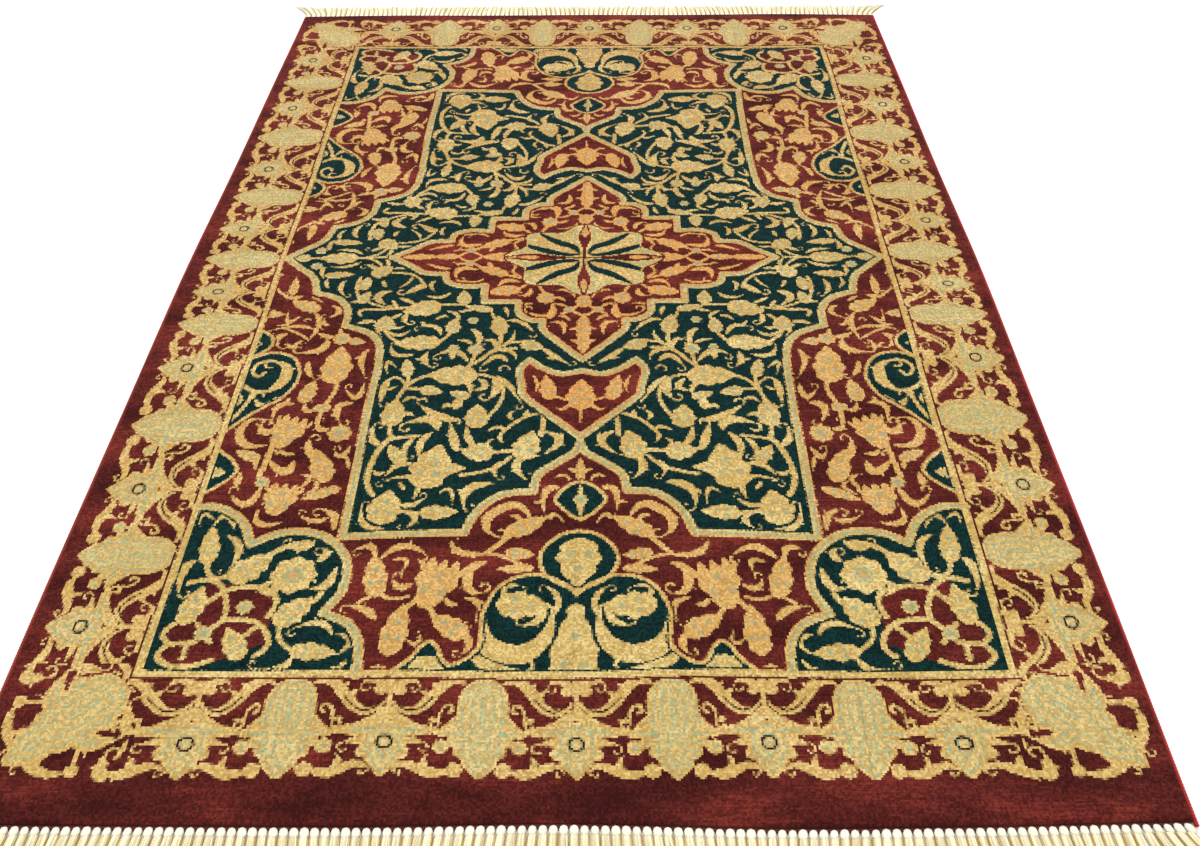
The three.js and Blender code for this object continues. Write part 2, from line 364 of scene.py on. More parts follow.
spandrelMotifs = [
    ("palmette", 12.2, (433, 618), (441, 558)),
    ("stem", 3.5, (433, 612), (422, 636), (398, 630)),
    ("palmette", 17.9, (402, 642), (360, 600)),
    ("stem", 4.2, (366, 604), (345, 589), (322, 585)),
    ("leaf", 5, (314, 580), (328, 593), (349, 588)),
    ("leaf", 4.6, (414, 564), (429, 541), (443, 563)),
    ("leaf", 3, (441, 549), (457, 540), (456, 564)),
    ("leaf", 5, (421, 573), (402, 592), (407, 629)),
    ("rosette", 28, (330, 633)),
    ("leaf", 5.4, (308, 614), (298, 603), (304, 594)),
    ("leaf", 5, (348, 640), (361, 652), (350, 663)),
    ("leaf", 6, (282, 622), (289, 648), (308, 652)),
    ("leaf", 4.2, (291, 656), (296, 668), (307, 679)),
    ("palmette", 16.9, (336, 704), (300, 666)),
    ("stem", 3.2, (328, 702), (324, 726), (300, 741)),
    ("palmette", 12.2, (312, 739), (258, 743)),
    ("leaf", 4.8, (268, 719), (285, 702), (316, 711)),
    ("leaf", 4.2, (265, 716), (246, 728), (262, 748)),
    ("leaf", 3.2, (246, 751), (253, 762), (263, 760)),
    ("leaf", 4.8, (306, 746), (318, 763), (348, 762)),
    ("leaf", 6, (446, 611), (458, 628), (453, 663)),
    ("rosette", 11, (375, 679)),
    ("rosette", 11, (412, 716)),
    ("palmette", 14.1, (438, 706), (428, 648)),
    ("palmette", 13.2, (362, 752), (388, 708)),
    ("stem", 3.8, (346, 692), (344, 662), (372, 650), (404, 656)),
    ("stem", 3.8, (404, 656), (421, 641), (446, 645)),
    ("stem", 3.8, (405, 657), (424, 678)),
    ("stem", 3.8, (404, 657), (395, 680), (395, 699)),
    ("stem", 3.8, (395, 698), (356, 701), (337, 727), (348, 746)),
    ("stem", 3.8, (353, 704), (371, 725)),
    ("stem", 3.8, (446, 704), (455, 718), (447, 732), (454, 746), (440, 759), (418, 760), (394, 752)),
    ("stem", 3.8, (418, 728), (441, 731)),
    ("stem", 3.8, (426, 733), (426, 750)),
    ("stem", 3.8, (395, 699), (412, 716)),
    ("stem", 3.8, (421, 704), (402, 728)),
]
medallionMotifs = [
    ("bud", 6, (70, 0), (104, 0)),
    ("palmette", 11.9, (106, 0), (160, 0)),
    ("stem", 2.9, (158, 0), (176, 13), (194, 0)),
    ("rosette", 9, (176, 18)),
    ("leaf", 3.2, (170, 20), (157, 27)),
    ("leaf", 2.9, (183, 20), (195, 18)),
    ("palmette", 8.5, (194, 0), (236, 0)),
    ("palmette", 7.7, (228, 0), (292, 0)),
    ("leaf", 2.5, (193, 26), (198, 17), (209, 16)),
    ("leaf", 4.1, (205, 31), (220, 29), (248, 16)),
    ("leaf", 5.8, (160, 36), (190, 34), (192, 61)),
    ("stem", 2.5, (154, 60), (168, 66), (191, 62)),
    ("palmette", 11, (116, 48), (164, 26)),
    ("leaf", 4, (139, 32), (148, 15)),
    ("stem", 2.9, (77, 58), (100, 54), (122, 46)),
    ("leaf", 3.4, (127, 10), (106, 22), (118, 43)),
    ("leaf", 3.4, (95, 51), (107, 44), (108, 33)),
    ("leaf", 4.7, (96, 66), (119, 63), (130, 80)),
    ("palmette", 12.7, (96, 84), (146, 92)),
    ("stem", 3.1, (77, 60), (92, 76), (104, 86)),
    ("leaf", 4.7, (82, 81), (83, 95), (96, 100)),
    ("rosette", 15, (57, 105)),
    ("stem", 3.1, (76, 60), (68, 76), (61, 93)),
    ("leaf", 3.2, (13, 106), (24, 87), (50, 87)),
    ("leaf", 3.4, (48, 104), (36, 105), (26, 114)),
    ("leaf", 6.8, (48, 117), (52, 148), (86, 138)),
    ("leaf", 3.1, (83, 143), (90, 122), (68, 120)),
    ("stem", 2.9, (0, 121), (16, 133), (0, 148)),
    ("rosette", 9, (22, 133)),
    ("leaf", 3.2, (26, 127), (34, 121), (49, 118)),
    ("leaf", 3.2, (26, 139), (36, 145)),
    ("bud", 9, (0, 100), (0, 56)),
    ("palmette", 12.7, (0, 128), (0, 94)),
    ("palmette", 11.9, (0, 202), (0, 142)),
    ("palmette", 10.2, (0, 186), (0, 236)),
    ("leaf", 3.1, (10, 176), (20, 179)),
    ("leaf", 3.1, (8, 206), (18, 203)),
    ("leaf", 4.7, (30, 191), (31, 166), (53, 164)),
    ("leaf", 3.4, (19, 160), (28, 149), (39, 150)),
    ("palmette", 19.4, (0, 352), (0, 288)),
    ("leaf", 2.7, (0, 344), (0, 380)),
    ("palmette", 11.9, (40, 332), (50, 280)),
    ("stem", 2.7, (18, 331), (42, 322)),
    ("leaf", 3.6, (13, 333), (22, 349), (33, 346)),
    ("leaf", 3.2, (68, 278), (60, 300), (64, 320)),
]
insetMotifs = [
    ("leaf", 9, (428, 312), (411, 292), (412, 264), (434, 250)),
    ("stem", 3.2, (430, 250), (450, 252), (458, 268), (449, 282), (440, 273)),
    ("leaf", 7, (410, 323), (424, 343), (442, 326)),
    ("stem", 3.8, (414, 303), (440, 314), (466, 297)),
    ("stem", 3.5, (447, 314), (450, 338), (462, 370)),
    ("leaf", 3.8, (467, 317), (460, 332), (468, 348)),
    ("bud", 7, (474, 212), (456, 212)),
    ("palmette", 9.4, (474, 470), (446, 468)),
    ("rosette", 10, (0, 514)),
    ("leaf", 4.6, (0, 512), (0, 542)),
    ("leaf", 3.6, (0, 512), (0, 488)),
    ("body", 20, (160, 746), (160, 796)),
    ("leaf", 13, (104, 690), (98, 730), (62, 744), (34, 724), (27, 684)),
    ("leaf", 4.4, (27, 696), (22, 668), (38, 650)),
    ("palmette", 19, (92, 676), (30, 680)),
    ("leaf", 4.6, (80, 672), (84, 652), (62, 652)),
    ("leaf", 5.4, (36, 676), (42, 698), (62, 706)),
    ("leaf", 7, (110, 742), (94, 758), (52, 765)),
    ("disc", 11, (0, 686)),
    ("bud", 27, (0, 800), (0, 676)),
    ("palmette", 26, (0, 576), (0, 652)),
]
# The unit of the border, from a star at 0 to a palmette at 99, and outwards from the frame.
# The star and the palmette are sets of motifs about their own axis, each joined into one shape.
starParts = [
    ("bud", 24, (0, 50), (0, 120)),
    ("leaf", 7, (0, 32), (14, 51), (46, 61)),
    ("wing", 8.5, (0, 62), (24, 62), (48, 63)),
    ("leaf", 5.4, (6, 76), (22, 75), (41, 78)),
    ("disc", 8, (19, 89)),
]
crownParts = [
    ("body", 28, (0, -4), (0, 84)),
    ("bud", 25, (0, 60), (0, 121)),
    ("disc", 8, (20, 87)),
    ("leaf", 7, (14, 34), (26, 51), (44, 62)),
    ("wing", 8.5, (0, 66), (22, 66), (45, 65)),
    ("wing", 7, (12, 76), (26, 76), (38, 80)),
    ("disc", 9, (41, 82)),
]
borderMotifs = [
    ("stem", 3.2, (0, 14), (0, 44)),
    ("disc", 10, (0, 8)),
    ("disc", 7, (10, 12)),
    ("leaf", 5.4, (2, 14), (10, 3), (21, -1), (30, 5)),
    ("scroll", 7, (4, 26), (12, 36), (24, 39), (36, 31), (52, 9), (60, 1), (69, -1), (79, 4)),
    ("leaf", 4, (40, 29), (38, 17), (31, 12)),
    ("leaf", 4, (47, 19), (48, 9), (42, 2)),
    ("stem", 2.3, (54, 52), (56, 36), (64, 30), (67, 37), (63, 40)),
    ("disc", 9, (74, 109)),
    ("scroll", 6.4, (13, 108), (25, 103), (44, 111), (56, 113), (68, 109)),
    ("stem", 1.7, (16, 105), (12, 110), (18, 115), (20, 111)),
    ("leaf", 4, (47, 112), (42, 101), (46, 91)),
]
# The corner of the border, outwards from the frame's corner in both directions: one large shape and
# these motifs, which come again on the far side of the diagonal.
cornerParts = [
    ("body", 36, (0, 2), (70, 70)),
    ("palmette", 30, (30, 32), (102, 104)),
    ("leaf", 13, (50, 40), (72, 26), (70, -10)),
    ("leaf", 13, (40, 50), (24, 74), (-10, 72)),
    ("disc", 12, (50, 6)),
    ("disc", 12, (6, 50)),
]
cornerMotifs = [
    ("stem", 3, (27, 76), (27, 104)),
    ("disc", 8, (27, 110)),
    ("scroll", 6, (88, 107), (80, 101), (68, 108), (50, 114), (33, 112)),
    ("stem", 1.7, (86, 104), (91, 108), (89, 113), (84, 112)),
    ("leaf", 4, (62, 110), (65, 99), (56, 94)),
    ("leaf", 9, (-52, 60), (-26, 60), (-12, 56)),
    ("leaf", 6, (-24, 60), (-15, 46), (-13, 27)),
    ("disc", 8, (-26, 79)),
    ("leaf", 6.4, (-48, 111), (-26, 114), (-4, 110)),
    ("leaf", 8, (-12, 116), (-3, 110), (-4, 88)),
    ("leaf", 5.4, (-46, 30), (-24, 11), (-9, 1), (0, 7)),
    ("curl", 4, (-8, 14)),
]
latticeOutline = [(346, 655), (422, 642), (447, 700), (452, 757), (395, 757), (338, 728)]
# Teal insets at the frame: the line that edges each one, and for one of them the places that close it.
insets = [
    {"line": [(476, 252), (443, 232), (408, 241), (390, 280), (402, 322), (438, 358), (476, 408)]},
    {"line": [(476, 176), (448, 196), (447, 222), (476, 248)]},
    {"line": [(476, 420), (442, 448), (436, 474), (476, 514)]},
    {"line": [(-6, 482), (15, 490), (31, 514), (12, 539), (-6, 550)]},
    {
        "line": [
            (-6, 672), (14, 648), (52, 633), (88, 649), (106, 690), (106, 735),
            (136, 758), (152, 734), (160, 728), (170, 736), (180, 752), (206, 776),
        ],
        "closing": [(206, 800), (-6, 800)],
    },
    {"line": [(-6, 564), (24, 572), (46, 602), (36, 636), (-6, 660)]},
]
# The medallion's middle: a round calyx with a spike along each axis, and two dark strokes that open
# to each diagonal.
middle = {
    "reach": (112, 88),
    "strokes": [
        ("scroll", 6.8, (8, 10), (34, 9), (62, 20), (104, 40)),
        ("scroll", 6.8, (8, 12), (18, 31), (42, 44), (72, 70)),
    ],
    "spike": 8,
    "rim": 3,  # gold left round the strokes
    "vein": 7,  # how far in the celadon line runs
}
# Where the pattern lies on the rug
layout = {
    "middle": (3, 25),  # the medallion's middle
    "border": (477, 779),  # where the border starts, across and along from there
    "corner": (456, 758),  # where its corners start
    "backHalf": 1.049,  # the back half is drawn in by as much
    "sideBorder": 1.055,  # the border likewise, at the sides, the front and the back
    "frontBorder": 1.036,
    "backBorder": 0.936,
    "unit": 99,  # from a star to the next palmette
}
lines = {
    "bandHalf": 6.2,  # half width of the bands round the field, the medallion and the corner panels
    "bandGap": 2,  # bare ground beside a band
    "veinHalf": 1.9,  # celadon along the middle of a band
    "insetHalf": 3.0,
    "frameHalf": 4.7,
    "gap": 1.5,  # bare ground beside the thinner lines
    "frame": (468.5, 770),  # the middle of the frame line, across and along
}
# Where the border's stars and palmettes come along each side, in turn, from corner to corner.
marks = {
    "front": (-511, -392, -293, -191, -92, 6, 106, 202, 302, 397, 520),
    "back": (-515, -398, -292, -190, -92, 2, 107, 206, 303, 404, 522),
    "left": (-802, -684, -580, -473, -358, -239, -141, -65, 21, 105, 199, 287, 399, 504, 608, 702, 811),
    "right": (-796, -678, -575, -466, -344, -218, -119, -48, 38, 126, 214, 308, 410, 514, 614, 705, 814),
}

chartStep = 1.2  # size of a cell
spineStep = 1.6  # between the discs of a stroke
nothing = -20.0  # depth where a colour is absent
lobedFrom = 4.4  # half width of the narrowest leaf with a side lobe and a curl
curlLimit = 7.5  # half width of the leaf with the widest curl
veinedFrom = 8.0
layerNames = ("teal", "gold", "celadon", "salmon", "dark", "wash", "peach")


def scalloped(t, count, low, rise):  # a row of petals along an edge
    return low + rise * np.abs(np.sin(count * np.pi * t))


# Half width along a motif, root to tip, as a share of its widest.
spread = {
    "stem": lambda t: 1 + 0 * t,
    "leaf": lambda t: 0.1 + 0.9 * np.sin(np.pi * t**0.8) ** 0.85,
    "bud": lambda t: np.sin(np.pi * t**0.7) ** 0.8 * (1 + 0.06 * np.cos(8 * np.pi * t)),
    "palmette": lambda t: np.sin(np.pi * t**0.74) ** 0.72 * scalloped(t, 3.5, 0.86, 0.22),
    "fan": lambda t: (0.3 + 0.7 * np.sin(np.pi * 0.62 * t)) * scalloped(t, 3, 0.84, 0.2),
    "wing": lambda t: np.sqrt(1 - 0.75 * t**3),
    "body": lambda t: np.sqrt(1 - np.abs(2 * t - 1) ** 3),
    "scroll": lambda t: 0.2 + 0.8 * np.sin(np.pi * t**1.2) ** 0.7,
}


def newChart(low, high):
    u = np.arange(low[0], high[0], chartStep)
    v = np.arange(low[1], high[1], chartStep)
    layers = {name: np.full((len(u), len(v)), nothing, np.float32) for name in layerNames}
    return {"u": u, "v": v, **layers}


def chartGrid(chart):
    return np.meshgrid(chart["u"], chart["v"], indexing="ij")


# The cells round a motif: their slice of the chart and where they lie.
def cellsRound(chart, places, margin):
    low = np.min(places, axis=0) - margin
    high = np.max(places, axis=0) + margin
    i0, i1 = np.searchsorted(chart["u"], (low[0], high[0]))
    j0, j1 = np.searchsorted(chart["v"], (low[1], high[1]))
    u, v = np.meshgrid(chart["u"][i0:i1], chart["v"][j0:j1], indexing="ij")
    return (slice(i0, i1), slice(j0, j1)), u, v


# Places along a spine: a smooth curve whose ends bend as its middle does, so that three places
# give a parabola.
def spineAt(places, share):
    p = np.asarray(places, float)
    if len(p) < 3:
        return curveThrough(p, share)
    before = 3 * (p[0] - p[1]) + p[2]
    after = 3 * (p[-1] - p[-2]) + p[-3]
    return curveThrough([before, *p, after], (1 + share * (len(p) - 1)) / (len(p) + 1))


# Depth inside a stroke: the deepest of the discs strung closely along its spine.
def strokeDepth(chart, half, places, kind="stem", margin=5.0, curve=spineAt):
    length = np.hypot(*np.diff(np.asarray(places, float), axis=0).T).sum()
    share = np.linspace(0, 1, max(12, int(length / spineStep)))
    spine = curve(places, share)
    cells, u, v = cellsRound(chart, spine, half + margin)
    depth = np.full(u.shape, nothing)
    for (a, b), r in zip(spine, half * spread[kind](share)):
        depth = np.maximum(depth, r - np.hypot(u - a, v - b))
    return cells, depth, None


# Depth inside a leaf: its blade, and on a wide one a lobe on the outside of its bend.
# Its tip runs on into a curl: a spiral that turns to the inside and closes in.
def leafDepth(chart, half, places):
    cells, depth, _ = strokeDepth(chart, half, places, "leaf", margin=5 + 3 * half)
    if half < lobedFrom or len(places) < 3:
        return cells, depth, None
    spine = spineAt(places, np.array((0.35, 0.55, 0.94, 1.0)))
    ahead = spine[[1, 3]] - spine[[0, 2]]
    ahead = ahead / np.hypot(ahead[:, :1], ahead[:, 1:])
    chord = np.subtract(places[-1], places[0])
    bend = spine[1] - places[0]
    outside = np.stack((ahead[:, 1], -ahead[:, 0]), axis=1)
    if chord[0] * bend[1] - chord[1] * bend[0] > 0:
        outside = -outside
    small = min(half, curlLimit)
    lobe = [spine[0], spine[1], spine[1] + (outside[0] * 1.5 + ahead[0] * 1.2) * half]
    turn = np.linspace(0, 1.25 * np.pi, 6)[:, None]
    reach = small * (1.15 - 0.13 * turn)
    circle = outside[1] * np.cos(turn) + ahead[1] * np.sin(turn)
    curl = spine[3] - outside[1] * reach[0] + reach * circle
    whole = np.full(chart["gold"].shape, nothing)
    whole[cells] = depth
    for width, part, kind in ((0.5, lobe, "leaf"), (0.3, curl, "stem")):
        partCells, one, _ = strokeDepth(chart, small * width, part, kind)
        whole[partCells] = np.maximum(whole[partCells], one)
    return cells, whole[cells], None


# Depth inside a straight motif: its half width there less the distance from its spine.
# A fan ends in a scalloped edge. The heart is how far the nearest of three marks lies: one on each
# side of the spine and one ahead.
def bladeDepth(chart, half, places, kind):
    root, tip = np.asarray(places, float)
    length = np.hypot(*(tip - root))
    ahead = (tip - root) / length
    cells, u, v = cellsRound(chart, places, half + 4)
    along = (u - root[0]) * ahead[0] + (v - root[1]) * ahead[1]
    aside = np.abs((v - root[1]) * ahead[0] - (u - root[0]) * ahead[1])
    depth = half * spread[kind](np.clip(along / length, 0, 1)) - aside
    beside = np.hypot(along - 0.34 * length, aside - 0.42 * half)
    heart = np.minimum(beside, np.hypot(along - 0.64 * length, aside))
    far = length
    if kind == "fan":
        far = length * (0.8 + 0.2 * np.abs(np.cos(1.9 * np.pi * aside / half)))
    return cells, np.minimum(depth, np.minimum(along, far - along)), heart


# Depth inside a disc or a rosette: a circle, whose radius swells at each petal of a rosette.
def discDepth(chart, half, places, petals):
    cells, u, v = cellsRound(chart, places, half + 4)
    du, dv = u - places[0][0], v - places[0][1]
    radius = np.hypot(du, dv)
    swell = 0.04 + 0.6 / half
    depth = half * (1 - swell + swell * np.cos(petals * np.arctan2(dv, du))) - radius
    return cells, depth, radius * 0.5


# Depth inside a curl: a ring with a gap on one side.
def curlDepth(chart, half, places):
    cells, u, v = cellsRound(chart, places, half + 4)
    du, dv = u - places[0][0], v - places[0][1]
    ring = 1.8 - np.abs(np.hypot(du, dv) - half)
    return cells, np.minimum(ring, half * 0.5 - dv + du * 0.3), None


def motifDepth(chart, kind, half, places):
    if kind == "disc":
        return discDepth(chart, half, places, 0)
    if kind == "rosette":
        return discDepth(chart, half, places, 6 if half < 10 else 8)
    if kind == "curl":
        return curlDepth(chart, half, places)
    if kind == "leaf":
        return leafDepth(chart, half, places)
    if kind in ("stem", "scroll", "wing"):
        return strokeDepth(chart, half, places, kind)
    return bladeDepth(chart, half, places, kind)


def lay(chart, name, cells, depth):
    chart[name][cells] = np.maximum(chart[name][cells], depth)


# Lays motifs in gold where the mask allows, with celadon rings round salmon dots in the large ones.
def layMotifs(chart, rows, mask=None):
    for kind, half, *places in rows:
        cells, depth, heart = motifDepth(chart, kind, half, places)
        if mask is not None:
            depth = np.minimum(depth, mask[cells])
        lay(chart, "gold", cells, depth)
        if heart is not None and half >= veinedFrom and kind != "disc":
            lay(chart, "celadon", cells, np.minimum(1.5 - np.abs(heart - 0.15 * half), depth - 1.5))
            lay(chart, "salmon", cells, np.minimum(0.1 * half - heart, depth - 1.5))


# Motifs joined into one large shape in gold, with celadon lines that follow its edge.
def layShape(chart, rows, pitch):
    depth = np.full(chart["gold"].shape, nothing)
    for kind, half, *places in rows:
        cells, one, _ = motifDepth(chart, kind, half, places)
        depth[cells] = np.maximum(depth[cells], one)
    lay(chart, "gold", (), depth)
    line = pitch * np.abs(np.mod(depth / pitch, 1) - 0.7)
    lay(chart, "celadon", (), np.minimum(1.3 - line, depth - 3))
    lay(chart, "wash", (), depth - 8)


# The same motifs on both sides of an axis.
def bothSides(rows, axis):
    return [(kind, half, *[(axis + side * a, b) for a, b in places])
            for side in (-1, 1) for kind, half, *places in rows]


def flipped(rows):
    return [(kind, half, *[(b, a) for a, b in places]) for kind, half, *places in rows]


def outlinePlaces(pieces):
    return np.vstack([curveThrough(piece, np.linspace(0, 1, 8 * len(piece))) for piece in pieces])


# Inside a closed outline: a level line from the place crosses its sides an odd number of times.
def insideOutline(chart, places):
    p = np.asarray(places, float)
    u, v = chartGrid(chart)
    odd = np.zeros(u.shape, bool)
    for (a, b), (c, d) in zip(p, np.roll(p, -1, axis=0)):
        if b != d:
            odd ^= ((b > v) != (d > v)) & (u < (c - a) * (v - b) / (d - b) + a)
    return odd


# Depth inside a band of even width along an outline.
def bandDepth(chart, pieces, half):
    depth = np.full(chart["gold"].shape, nothing)
    for piece in pieces:
        cells, one, _ = strokeDepth(chart, half, piece, margin=20.0, curve=curveThrough)
        depth[cells] = np.maximum(depth[cells], one)
    return depth


def asDepth(part):
    return np.where(part, -nothing, nothing)


# The medallion's middle: depth inside its calyx, a lobed oval less a spike along each axis, and
# depth in its strokes.
def middleDepth(chart):
    u, v = chartGrid(chart)
    across, along = middle["reach"]
    lobes = 0.1 * np.cos(8 * np.arctan2(v / along, u / across))
    oval = (1 + lobes - np.hypot(u / across, v / along)) * along

    def wedge(share):
        return 1.5 + middle["spike"] * np.sin(np.pi * np.clip(share - 0.2, 0, 1)) ** 2

    calyx = np.minimum(oval, np.minimum(v - wedge(u / across), u - wedge(v / along)))
    strokes = np.full(u.shape, nothing)
    for kind, half, *places in middle["strokes"]:
        cells, depth, _ = strokeDepth(chart, half, places, kind)
        strokes[cells] = np.maximum(strokes[cells], depth)
    return calyx, strokes


def fieldChart():
    chart = newChart((-3, -3), (482, 784))
    u, v = chartGrid(chart)
    closed = lambda pieces, *ends: insideOutline(chart, [*outlinePlaces(pieces), *ends])
    inField = closed(fieldOutline, (-40, 380), (-40, -40), (520, -40))
    inMedallion = closed(medallionOutline, (-40, 290), (-40, -40), (335, -40))
    inPendant = closed(pendantOutline, (-40, 440), (-40, 270))
    inSpandrel = closed(spandrelOutline, (233, 800), (500, 800), (500, 527))
    inLattice = insideOutline(chart, latticeOutline)
    calyx, strokes = middleDepth(chart)
    insetParts = [closed([inset["line"]], *inset.get("closing", ())) for inset in insets]
    inInset = np.logical_or.reduce(insetParts)
    insetBand = bandDepth(chart, [inset["line"] for inset in insets], lines["insetHalf"])
    outlines = (fieldOutline, medallionOutline, pendantOutline, spandrelOutline)
    band = np.maximum.reduce([bandDepth(chart, pieces, lines["bandHalf"]) for pieces in outlines])
    border = np.maximum(u - lines["frame"][0], v - lines["frame"][1])  # outwards from the frame line
    frameLine = lines["frameHalf"] - np.abs(border)
    onField = inField & ~inMedallion & ~inPendant
    onRed = ~inField & ~inSpandrel & ~inInset
    clear = np.minimum(-band - lines["bandGap"], -insetBand - lines["gap"])
    clear = np.minimum(clear, -lines["frameHalf"] - border - lines["gap"])
    lay(chart, "gold", (), np.maximum(band, np.minimum(insetBand, -border)))
    lay(chart, "celadon", (), band - (lines["bandHalf"] - lines["veinHalf"]))
    layMotifs(chart, fieldMotifs, np.minimum(clear, asDepth(onField)))
    layMotifs(chart, panelMotifs + archMotifs, np.minimum(clear, asDepth(onRed)))
    layMotifs(chart, spandrelMotifs, np.minimum(clear, asDepth(inSpandrel)))
    layMotifs(chart, insetMotifs, np.minimum(clear, asDepth(inInset)))
    onMedallion = np.minimum(asDepth(inMedallion | inPendant), -calyx - 2)
    layMotifs(chart, medallionMotifs, np.minimum(clear, onMedallion))
    inStroke = (strokes > 0) & (calyx > middle["rim"])
    leaves = np.minimum(calyx, np.maximum(-strokes, middle["rim"] - calyx))
    chart["gold"] = np.where(calyx > 0, leaves, chart["gold"])
    lay(chart, "celadon", (), np.minimum(1.4 - np.abs(calyx - middle["vein"]), -strokes - 2))
    chart["gold"] = np.maximum(chart["gold"], frameLine)
    outside = border > 0
    for name in ("celadon", "salmon", "teal", "wash"):
        chart[name][outside] = nothing
    teal = onField | (inSpandrel & ~inLattice) | inInset | inStroke
    chart["teal"] = np.where(teal & ~outside, 3.0, -3.0)
    warm = np.where(inMedallion | inPendant, 1.0, np.where(onRed, 0.55, 0.0))
    chart["peach"] = np.where((calyx < 0) & ~outside, warm, 0.0)
    return chart


def borderChart():
    chart = newChart((-3, -6), (103, 124))
    u, v = chartGrid(chart)
    layMotifs(chart, borderMotifs)
    layShape(chart, bothSides(starParts, 0), 10.5)
    layShape(chart, bothSides(crownParts, layout["unit"]), 9.5)
    cells, rib, _ = strokeDepth(chart, 1.2, [(8, 29), (21, 38), (32, 35), (45, 21)])
    lay(chart, "dark", cells, rib)
    lay(chart, "dark", (), 1.4 - np.abs(np.hypot(u, v - 77) - 7.5))
    lay(chart, "dark", (), 2 - np.hypot(u - 63, v - 72))
    for name in layerNames[:-1]:
        chart[name][:, -4:] = nothing  # the plain band beyond
    chart["peach"][:] = 0.25
    return chart


def cornerChart():
    chart = newChart((-26, -26), (190, 190))
    layMotifs(chart, cornerMotifs)
    layMotifs(chart, flipped(cornerMotifs))
    layShape(chart, cornerParts, 12.0)
    chart["peach"][:] = 0.25
    return chart


def sampleChart(chart, name, u, v):  # between the four cells round a place
    fu = np.clip((u - chart["u"][0]) / chartStep, 0, len(chart["u"]) - 1.001)
    fv = np.clip((v - chart["v"][0]) / chartStep, 0, len(chart["v"]) - 1.001)
    i, j = fu.astype(int), fv.astype(int)
    a, b = fu - i, fv - j
    g = chart[name]
    near = g[i, j] * (1 - a) + g[i + 1, j] * a
    return near * (1 - b) + (g[i, j + 1] * (1 - a) + g[i + 1, j + 1] * a) * b


# Place in the border's unit, by the marks along that side: 0 at a star, its full length at a palmette.
def unitPlace(along, marks):
    share = np.interp(along, marks, np.arange(len(marks)))
    return layout["unit"] * np.abs(1 - np.mod(share, 2))


# Depth of every colour at places on the rug: the field folded twice about the medallion, the border
# by sides. A slow drift of the places keeps the quarters from being alike.
def patternAt(charts, x, y):
    field, border, corner = charts
    x, y = (x + 1.3 * np.sin(y / 61 + 1) + 0.8 * np.sin(x / 43 - y / 97),
            y + 1.2 * np.sin(x / 57 + 2) + 0.8 * np.sin(y / 47 + x / 89))
    middleX, middleY = layout["middle"]
    borderU, borderV = layout["border"]
    inFront = y < middleY
    u = np.abs(x - middleX)
    v = np.where(inFront, middleY - y, (y - middleY) * layout["backHalf"])
    side = (u - borderU) * layout["sideBorder"]
    end = (v - borderV) * np.where(inFront, layout["frontBorder"], layout["backBorder"])
    onSide = u - borderU > v - borderV
    sideUnit = np.where(x < 0, unitPlace(y, marks["left"]), unitPlace(y, marks["right"]))
    endUnit = np.where(y < 0, unitPlace(x, marks["front"]), unitPlace(x, marks["back"]))
    s = np.where(onSide, sideUnit, endUnit)
    t = np.where(onSide, side, end)
    inBorder = t > -2
    inCorner = (u > layout["corner"][0]) & (v > layout["corner"][1])
    depth = {}
    for name in layerNames:
        edge = np.where(inCorner, sampleChart(corner, name, side, end), sampleChart(border, name, s, t))
        depth[name] = np.where(inBorder, edge, sampleChart(field, name, u, v))
    return depth


# Mesh helpers: a grid of places becomes quads, and arrays go straight into the mesh.
def gridQuads(rows, columns, closed=False):
    across = columns if closed else columns - 1
    i, j = np.meshgrid(np.arange(rows - 1), np.arange(across), indexing="ij")
    following = (j + 1) % columns
    here = i * columns
    there = (i + 1) * columns
    corners = (here + j, here + following, there + following, there + j)
    return np.stack(corners, axis=-1).reshape(-1, 4)


# The faces of many tubes, as rings of places: their skins, and a cap at each end.
def tubeFaces(count, rings, sides):
    around = np.arange(sides)
    caps = [around.tolist(), (around + (rings - 1) * sides)[::-1].tolist()]
    one = gridQuads(rings, sides, closed=True)[:, ::-1].tolist() + caps
    starts = range(0, count * rings * sides, rings * sides)
    return [[corner + start for corner in face] for start in starts for face in one]


def rimOf(rows, columns):  # the places round a grid, in turn
    order = np.arange(rows * columns).reshape(rows, columns)
    return np.concatenate([order[0, :-1], order[:-1, -1], order[-1, :0:-1], order[:0:-1, 0]])


def newPiece(name, places, faces, material, smooth=True):
    mesh = bpy.data.meshes.new(name)
    mesh.from_pydata(np.asarray(places, float) * mm, [], faces)
    mesh.polygons.foreach_set("use_smooth", np.full(len(mesh.polygons), smooth))
    mesh.materials.append(material)
    mesh.update()
    piece = bpy.data.objects.new(name, mesh)
    bpy.context.collection.objects.link(piece)
    return piece


def addAttribute(piece, name, values, domain="POINT"):
    layer = piece.data.attributes.new(name, "FLOAT", domain)
    layer.data.foreach_set("value", np.asarray(values, np.float32).ravel())


